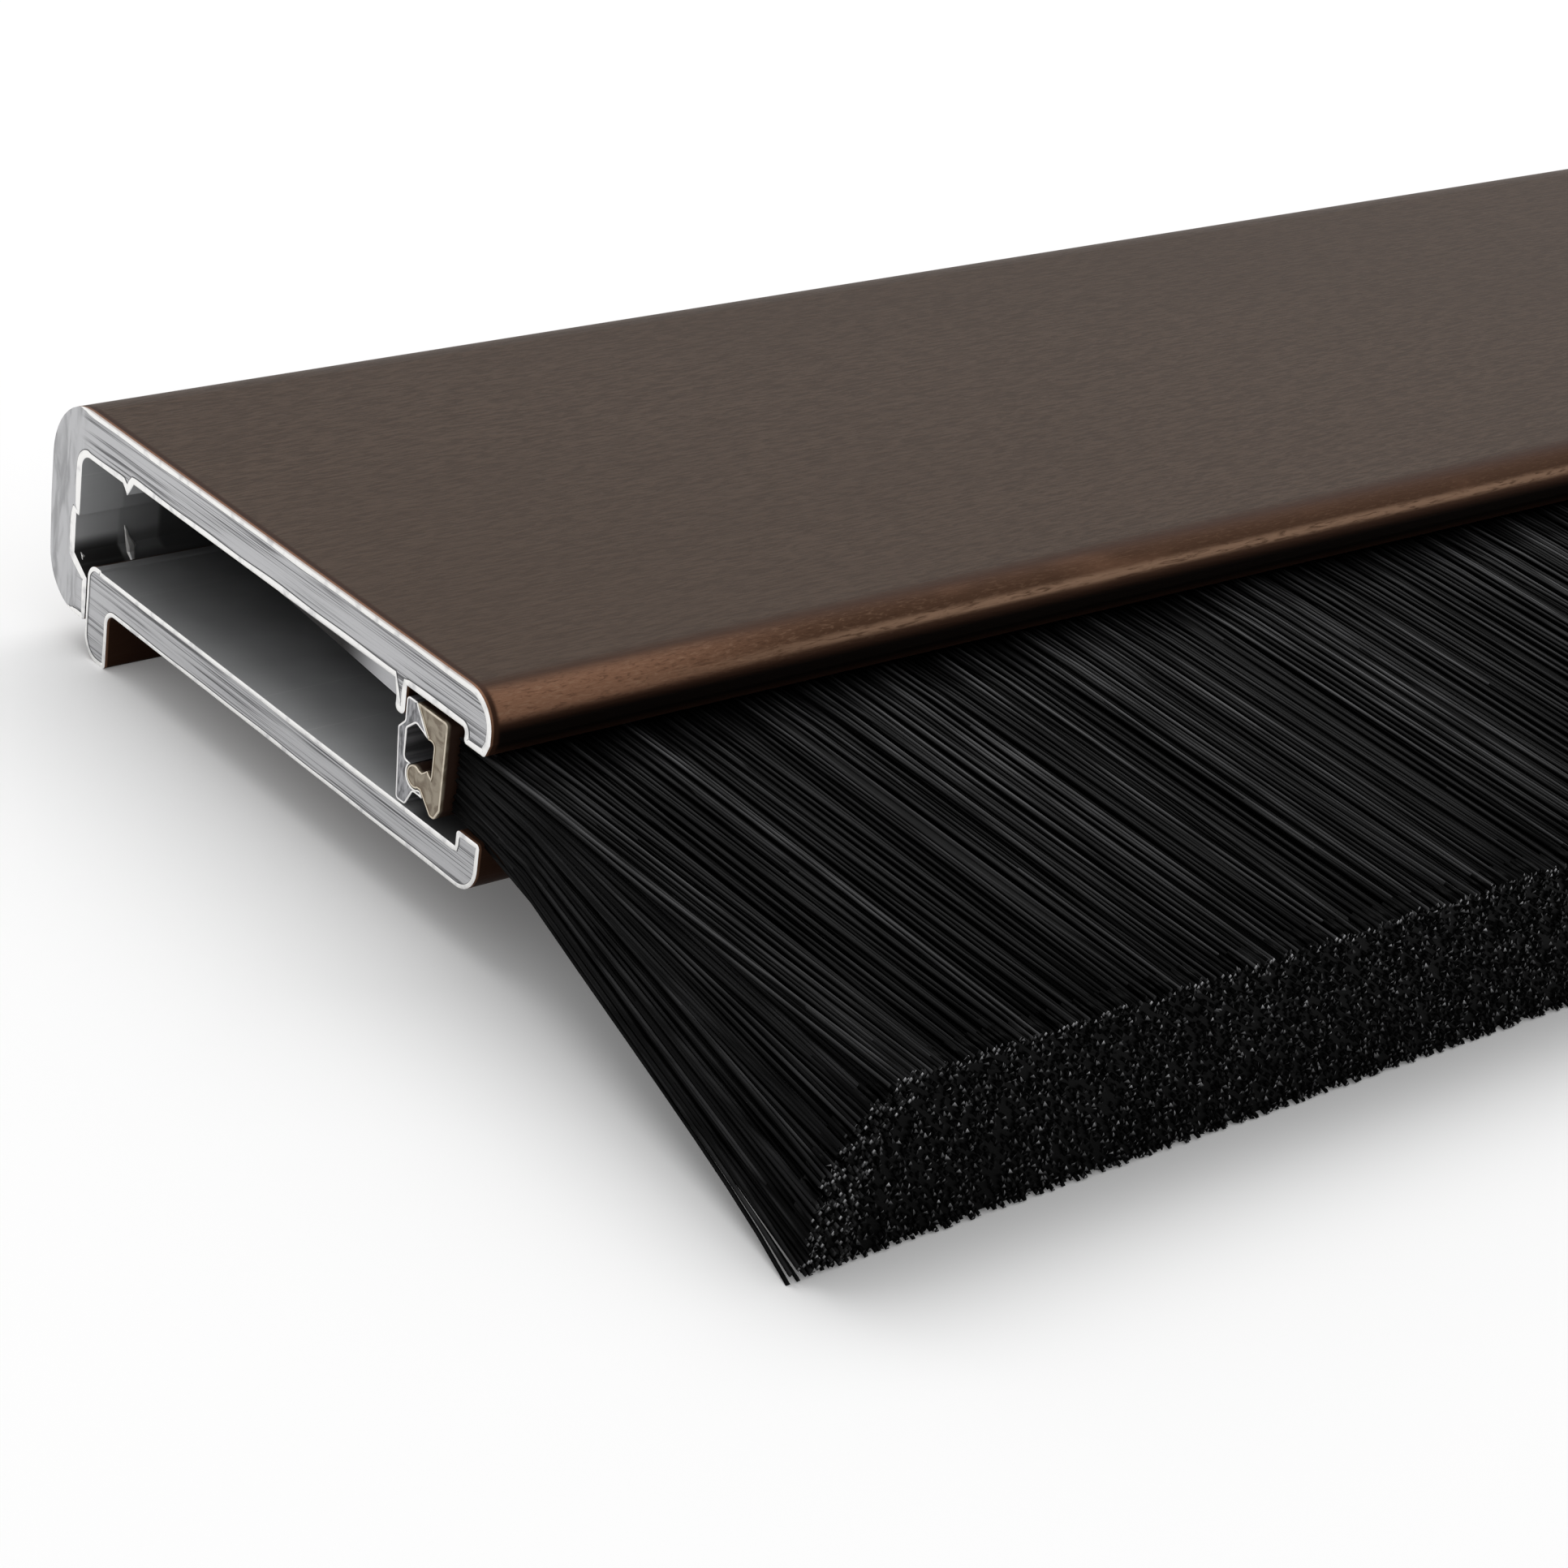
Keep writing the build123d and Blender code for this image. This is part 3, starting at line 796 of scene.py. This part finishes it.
class Fringe:
    """The brush as a field: a root place along X, a share of its height and a share of its length."""

    def __init__(self, sizes):
        self.sizes = sizes
        self.half = half_length - sizes.end_margin
        self.root, self.tip = brush_high.y, brush_low.y
        self.throat = (base_low.y - self.root) / (self.tip - self.root)
        self.low, self.high = base_high.z + sizes.throat_gap, brush_high.z

    def at(self, place, share, along):
        """Point of the fringe.

        open = (along - throat) / (1 - throat), from 0 in the throat to 1 at the tips
        fan = (1 - distance from the end / fan run) squared, with the sign of the place
        x = place + fan open (flare - (flare + lean) share^4)
        z = share of the height between the throat's levels, or 0 and the tip spread
        """
        sizes = self.sizes
        open_share = np.clip((along - self.throat) / (1 - self.throat), 0, 1)
        fan = np.clip(1 - (self.half - np.abs(place)) / sizes.fan_run, 0, None) ** 2 * np.sign(place)
        x = place + fan * open_share * (sizes.end_flare - (sizes.end_flare + sizes.end_lean) * share**4)
        low = self.low * (1 - open_share)
        high = self.high + (sizes.tip_spread - self.high) * open_share
        y = self.root + (self.tip - self.root) * along
        return np.stack(np.broadcast_arrays(x, y, low + (high - low) * share), axis=-1)

    def groove(self, place):
        """Depth of the tufts' grooves: depth |2 (x / tuft mod 1) - 1| (0.75 + 0.25 slow wave)."""
        wave = np.abs((place / self.sizes.tuft) % 1.0 * 2 - 1)
        slow = np.sin(place / (SLOW_GROOVE * self.sizes.tuft))
        return self.sizes.tuft_groove * wave * (0.75 + 0.25 * slow)

    def bundle(self, place):
        """Sideways drift of the tips, which gathers the bristles into uneven bundles."""
        return waves(place / self.sizes.tuft, BUNDLE_WAVES)

    def strands(self, place, share, rng, rings, sides, pale=1.0):
        """Rings and shades of whole bristles, from the root to a ragged tip, each with a painted highlight
        along its top.

        How pale they are is one number, or one for each ring, which then paints light and shade along them.
        """
        count = len(place)
        short = self.sizes.ragged * rng.random(count) ** 2 / (self.root - self.tip)
        along = (1 - short)[:, None] * np.linspace(ROOT_START, 1, rings)
        paths = self.at(place[:, None], share[:, None], along)
        drift = self.bundle(place) + rng.normal(0, STRAND_DRIFT, count)
        sag = rng.normal(0, STRAND_DRIFT, (count, 2))
        paths[:, :, 0] += drift[:, None] * along**LATE + sag[:, :1] * np.sin(np.pi * along)
        paths[:, :, 2] += sag[:, 1:] * np.sin(np.pi * along)
        radius = self.sizes.bristle * between(STRAND_RADIUS, rng.random(count))
        # painted highlight: full on each bristle's top corner, none on the others
        painted_crest = np.clip(np.sin(np.pi / 2 + np.arange(sides) * 2 * np.pi / sides), 0, 1)
        tone = between(TONES, rng.random(count) ** RARE)
        # shade: a random tone, times the painted levels along the bristle, times the painted highlight on its
        # top
        shade = tone[:, None, None] * np.broadcast_to(pale, rings)[:, None] * painted_crest
        return tubes(paths, radius, sides), shade.ravel()


def keep_inside(points):
    """Points held within the box of the brush."""
    return np.clip(points, np.array(brush_low), np.array(brush_high))


class SweepOperator:
    """What the operators share: the scene's sizes and colours."""

    bl_options = {"REGISTER"}

    @property
    def sizes(self):
        return bpy.context.scene.sweep_sizes

    @property
    def colours(self):
        return bpy.context.scene.sweep_colours


class SWEEP_OT_extrusions(SweepOperator, bpy.types.Operator):
    """Give the cover and the base their bronze outside, dull channel and sawn ends"""

    bl_idname = "sweep.extrusions"
    bl_label = "Extrusions"

    def execute(self, context):
        bronze, sawn = bronze_finish(self.colours), sawn_finish(self.colours, self.sizes)
        channel = channel_finish(self.colours)
        for node in ("cover", "base"):
            paint(node, bronze, (channel, facing_channel(node)), (sawn, cut_ends(node)))
        return {"FINISHED"}


class SWEEP_OT_carrier(SweepOperator, bpy.types.Operator):
    """Give the brush holder its mill finish and the backing its tan"""

    bl_idname = "sweep.carrier"
    bl_label = "Brush carrier"

    def execute(self, context):
        paint("brush_holder", holder_finish(self.colours))
        paint("brush_backing", backing_finish(self.colours))
        return {"FINISHED"}


class SWEEP_OT_rims(SweepOperator, bpy.types.Operator):
    """Add the bright burrs round the sawn ends"""

    bl_idname = "sweep.rims"
    bl_label = "Sawn rims"

    def execute(self, context):
        sizes = self.sizes
        tint = self.colours
        bright = rim_finish("sawn_rim", tint.rim, tint.sawn, tint.sawn_dark, tint.copper)
        thin = rim_finish("thin_rim", tint.rim, tint.sawn, tint.holder, tint.rim)
        pale = rim_finish("backing_rim", tint.backing_rim, tint.backing, tint.backing_dark, tint.backing)
        add_rim("cover", sizes.cover_rim, sizes, bright)
        add_rim("base", sizes.base_rim, sizes, bright)
        add_rim("brush_holder", sizes.holder_rim, sizes, thin)
        add_rim("brush_backing", sizes.backing_rim, sizes, pale)
        return {"FINISHED"}


class SWEEP_OT_flakes(SweepOperator, bpy.types.Operator):
    """Add the curled flake and the specks that the saw left inside the rear wall"""

    bl_idname = "sweep.flakes"
    bl_label = "Saw flakes"

    def execute(self, context):
        tint = self.colours
        flake = rim_finish("saw_flake", tint.rim, tint.sawn, tint.rim, tint.rim)
        leaves = zip(np.array(FLAKE_PLACES) * MM, np.array(FLAKE_REACHES) * MM)
        points, faces = skin(np.array([self.leaf(place, reach) for place, reach in leaves]))
        add_piece("saw_flakes", points, faces, flake, flat=(0, 1, 2))
        return {"FINISHED"}

    def leaf(self, place, reach):
        """Torn blade against the wall: one straight edge, the other widest low down, and pointed ends.

        x = distance from the end + reach (0.3 v + w (1 + cos a) / 2), with w read off a few steps of v
        y = back - 0.2 reach w (1 + sin a), with back the wall, and below its foot the jaw's slope
        z = height + reach (1 - 2 v)
        """
        down = np.linspace(0, 1, FLAKE_RINGS)[:, None]
        turn = np.linspace(0, 2 * np.pi, FLAKE_SIDES, endpoint=False)
        wide = np.interp(down, BLADE_STEPS, BLADE_WIDTHS)
        wall = cover_high.y - self.sizes.wall
        x = place[0] - half_length + reach[0] * (0.3 * down + wide * (1 + np.cos(turn)) / 2)
        z = place[1] + reach[1] * (1 - 2 * down)
        back = np.minimum(wall, wall + JAW_STEP - JAW_SLOPE * np.maximum(0, JAW_TOP - z))
        y = back - 0.2 * reach[0] * wide * (1 + np.sin(turn))
        return np.stack(np.broadcast_arrays(x, y, z), axis=-1)


class SWEEP_OT_bristles(SweepOperator, bpy.types.Operator):
    """Replace the plain brush by a dark core, rows of bristles and a face of cut tips"""

    bl_idname = "sweep.bristles"
    bl_label = "Bristles"

    def execute(self, context):
        fringe = Fringe(self.sizes)
        rng = np.random.default_rng(SEED)
        material = bristle_finish(self.colours)
        self.core(fringe, material)
        self.rows("top_bristles", fringe, rng, material, self.sizes.top_rows, top=True)
        self.rows("low_bristles", fringe, rng, material, self.sizes.low_rows, top=False)
        self.ends(fringe, rng, material)
        self.strays(fringe, rng, material)
        self.tips(fringe, rng, material)
        return {"FINISHED"}

    def core(self, fringe, material):
        """Dark heart of the fringe, a little inside it: a loop of eight points carried along the strip."""
        reach = fringe.half - CORE_INSET
        place = np.linspace(-reach, reach, CORE_RINGS)
        along = np.array([0.0, fringe.throat, *[CORE_TIP] * 4, fringe.throat, 0.0])
        points, faces = skin(fringe.at(place[:, None], np.array(CORE_SHARES), along)[None])
        piece = add_piece("brush_core", points, faces, material, flat=(0, 1, 2))
        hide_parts("brush")

    def strip(self, name, rings, shade, glint, material):
        """One piece of many bristles, with a glint at the highest corner of the cut tips."""
        points, faces = skin(rings)
        glints = np.zeros(sum(group.size for group in faces))
        glints[-faces[2].size :: faces[2].shape[1]] = glint
        values = {"shade": shade, "glint": glints}
        add_piece(name, keep_inside(points), faces, material, values, flat=(1, 2))

    def rows(self, name, fringe, rng, material, rows, top):
        """Rows of bristles just inside the upper or the lower side of the fringe, the top one rounder."""
        sizes, half = self.sizes, fringe.half
        count = int(2 * half / sizes.pitch)
        spots = (np.arange(count) + 0.5) * 2 * half / count - half
        for row in range(rows):
            place = np.clip(spots + rng.normal(0, ROW_JITTER * sizes.pitch, count), -half, half)
            loose = (TOP_LOOSE if top else LOW_LOOSE) * rng.random(count)
            sunk = sizes.bristle * (0.5 + ROW_SINK * row + loose)
            lag = (sunk + (fringe.groove(place) if top else 0)) / sizes.tip_spread
            # the top row gets painted light and shade along its length, the other rows painted shade
            form = TOP_FORM if top and row == 0 else PLAIN_FORM
            rings, shade = fringe.strands(place, 1 - lag if top else lag, rng, *form)
            glint = np.where(rng.random(count) < ROW_GLINTS, between(ROW_GLINT, rng.random(count)), 0)
            self.strip(f"{name}_{row + 1}", rings, shade, glint, material)

    def ends(self, fringe, rng, material):
        """Rows of bristles across the height at each cut end, where the fringe fans out."""
        sizes = self.sizes
        step = END_PACKING * sizes.pitch
        levels = int(sizes.tip_spread / step)
        share = np.tile((np.arange(levels) + 0.5) / levels, 2 * sizes.end_rows)
        inset = np.repeat(np.arange(sizes.end_rows), levels) * step
        place = np.concatenate([inset - fringe.half, fringe.half - inset])
        place = place + np.sign(-place) * rng.random(len(place)) * END_JITTER * sizes.pitch
        share = np.clip(share + rng.normal(0, END_SCATTER, len(share)), *END_LIMITS)
        rings, shade = fringe.strands(place, share, rng, *END_FORM)
        late = np.linspace(0, 1, END_FORM[0])[:, None] ** LATE
        rings[..., 2] += waves(share, GATHER_WAVES)[:, None, None] * late
        glint = np.where(rng.random(len(place)) < END_GLINTS, rng.random(len(place)), 0)
        self.strip("end_bristles", rings, shade, glint, material)

    def strays(self, fringe, rng, material):
        """A few loose bristles at the lower corners, splayed out from the others towards their tips."""
        count = self.sizes.strays
        place = np.repeat([-fringe.half, fringe.half], count)
        share = np.tile(np.linspace(*STRAY_SHARES, count), 2)
        rings, shade = fringe.strands(place, share, rng, *STRAY_FORM)
        room = brush_high.x - fringe.half - self.sizes.end_flare
        splay = np.tile(np.linspace(*STRAY_SPLAY, count), 2)
        out = room * splay[:, None] * np.linspace(0, 1, STRAY_FORM[0]) ** STRAY_LATE
        rings[..., 0] += (np.sign(place)[:, None] * out)[..., None]
        self.strip("stray_bristles", rings, shade, np.zeros(len(place)), material)

    def tips(self, fringe, rng, material):
        """Face of cut tips: short stubs on a jittered grid, in a few pieces along the strip."""
        step = self.sizes.tip_pitch
        columns, levels = int(2 * fringe.half / step), int(self.sizes.tip_spread / step)
        for number, some in enumerate(np.array_split(np.arange(columns), TIP_PIECES)):
            spots = (some[:, None] + 0.5 + 0.5 * (np.arange(levels) % 2)) * 2 * fringe.half / columns
            place = (spots - fringe.half + rng.normal(0, TIP_JITTER * step, spots.shape)).ravel()
            share = np.tile((np.arange(levels) + 0.5) / levels, len(some))
            share = np.clip(share + rng.normal(0, TIP_JITTER / levels, len(share)), *TIP_LIMITS)
            edge = fringe.groove(place) / self.sizes.tip_spread
            rings = self.stubs(fringe, rng, place, edge + share * (1 - 2 * edge))
            level = TIP_GLINT_LEVELS[np.digitize(rng.random(len(place)), TIP_GLINT_STEPS)]
            glint = rng.random(len(place)) * level
            self.strip(f"bristle_tips_{number + 1}", rings, np.zeros(rings.size // 3), glint, material)

    def stubs(self, fringe, rng, place, share):
        """Rings of short stubs, cut at slightly different angles, whose tips fall short in lumps.

        lump = sin(x / 0.31 + 2.1 sin(x / 0.83)) cos(23 share + x), with x in millimetres
        short = ragged (0.25 (1 + lump) + 0.5 random)
        """
        lump = np.sin(place / (0.31 * MM) + 2.1 * np.sin(place / (0.83 * MM)))
        lump = lump * np.cos(23 * share + place / MM)
        short = self.sizes.ragged * (0.25 * (1 + lump) + 0.5 * rng.random(len(place)))
        along = np.stack([np.full(len(place), STUB_START), 1 - short / (fringe.root - fringe.tip)], axis=1)
        paths = fringe.at(np.clip(place, -fringe.half, fringe.half)[:, None], share[:, None], along)
        paths[:, :, 0] += fringe.bundle(place)[:, None]
        radius = self.sizes.bristle * between(STUB_RADIUS, rng.random(len(place)))
        rings = tubes(paths, radius, STUB_SIDES)
        slant = rng.normal(0, TIP_SLANT, (len(place), 2))
        offset = rings[:, -1] - paths[:, -1:]
        rings[:, -1, :, 1] += offset[..., 0] * slant[:, :1] + offset[..., 2] * slant[:, 1:]
        return rings


class SWEEP_OT_stage(SweepOperator, bpy.types.Operator):
    """Set up the pale floor, the soft light and the camera"""

    bl_idname = "sweep.stage"
    bl_label = "Stage"

    def execute(self, context):
        scene = context.scene
        scene.view_settings.view_transform = "Standard"
        self.floor(scene)
        self.world(scene)
        self.lamp(scene)
        self.camera(scene)
        return {"FINISHED"}

    def floor(self, scene):
        """White floor under the strip, lifted to white for the eye where nothing shades it."""
        mesh = bpy.data.meshes.new("floor")
        corners = [(x * FLOOR_REACH, y * FLOOR_REACH, 0) for x, y in ((-1, -1), (1, -1), (1, 1), (-1, 1))]
        mesh.from_pydata(corners, [], [(0, 1, 2, 3)])
        made = Finish("studio_floor")
        made.set(Base_Color=self.colours.floor, Roughness=1.0, Specular_IOR_Level=0.0)
        made.set(Emission_Color=WHITE, Emission_Strength=made.times(made.seen(), FLOOR_LIFT))
        mesh.materials.append(made.material)
        floor = bpy.data.objects.new("floor", mesh)
        scene.collection.objects.link(floor)

    def world(self, scene):
        """Even white surroundings, at full white for the eye and for reflections."""
        scene.world = bpy.data.worlds.new("studio")
        scene.world.use_nodes = True
        made = Nodes(scene.world.node_tree)
        background = made.tree.nodes["Background"]
        made.put(background.inputs["Color"], WHITE)
        made.put(background.inputs["Strength"], made.step(made.seen(), 0.0, 1.0, least=SOFT_LEVEL))

    def lamp(self, scene):
        """Large rectangular soft lamp behind and above the strip."""
        data = bpy.data.lights.new("key_softbox", "AREA")
        data.shape = "RECTANGLE"
        data.size, data.size_y = KEY_SIZE
        data.energy = KEY_POWER
        lamp = bpy.data.objects.new("key_softbox", data)
        lamp.location = KEY_PLACE
        away = np.array(KEY_PLACE) - np.array(KEY_AIM)
        tilt = np.arctan2(np.hypot(away[0], away[1]), away[2])
        lamp.rotation_euler = (tilt, 0, np.arctan2(away[0], -away[1]))
        scene.collection.objects.link(lamp)

    def camera(self, scene):
        """Camera close to the near cut end, above the bristle tips."""
        data = bpy.data.cameras.new("camera")
        data.sensor_width = CAMERA_SENSOR
        data.lens = CAMERA_LENS
        data.clip_start = CAMERA_CLIP
        camera = bpy.data.objects.new("camera", data)
        camera.location = CAMERA_PLACE
        camera.rotation_euler = [radians(turn) for turn in CAMERA_TURN]
        scene.collection.objects.link(camera)
        scene.camera = camera


class SWEEP_PT_panel(bpy.types.Panel):
    """Sidebar panel that lists the steps, sizes and colours"""

    bl_label = "Brush door sweep"
    bl_idname = "SWEEP_PT_panel"
    bl_space_type = "VIEW_3D"
    bl_region_type = "UI"
    bl_category = "Door sweep"

    def draw(self, context):
        for step in STEPS:
            self.layout.operator(step.bl_idname)
        for group in (context.scene.sweep_sizes, context.scene.sweep_colours):
            box = self.layout.box()
            for key in group.__annotations__:
                box.prop(group, key)


STEPS = (
    SWEEP_OT_extrusions,
    SWEEP_OT_carrier,
    SWEEP_OT_rims,
    SWEEP_OT_flakes,
    SWEEP_OT_bristles,
    SWEEP_OT_stage,
)
CLASSES = (SweepSizes, SweepColours, *STEPS, SWEEP_PT_panel)


def register():
    """Add the classes and the scene's properties."""
    for item in CLASSES:
        bpy.utils.register_class(item)
    bpy.types.Scene.sweep_sizes = PointerProperty(type=SweepSizes)
    bpy.types.Scene.sweep_colours = PointerProperty(type=SweepColours)


def unregister():
    """Remove the properties and the classes."""
    del bpy.types.Scene.sweep_colours
    del bpy.types.Scene.sweep_sizes
    for item in reversed(CLASSES):
        bpy.utils.unregister_class(item)


def main():
    """Register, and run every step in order."""
    register()
    bpy.ops.sweep.extrusions()
    bpy.ops.sweep.carrier()
    bpy.ops.sweep.rims()
    bpy.ops.sweep.flakes()
    bpy.ops.sweep.bristles()
    bpy.ops.sweep.stage()


if __name__ == "__main__":
    main()
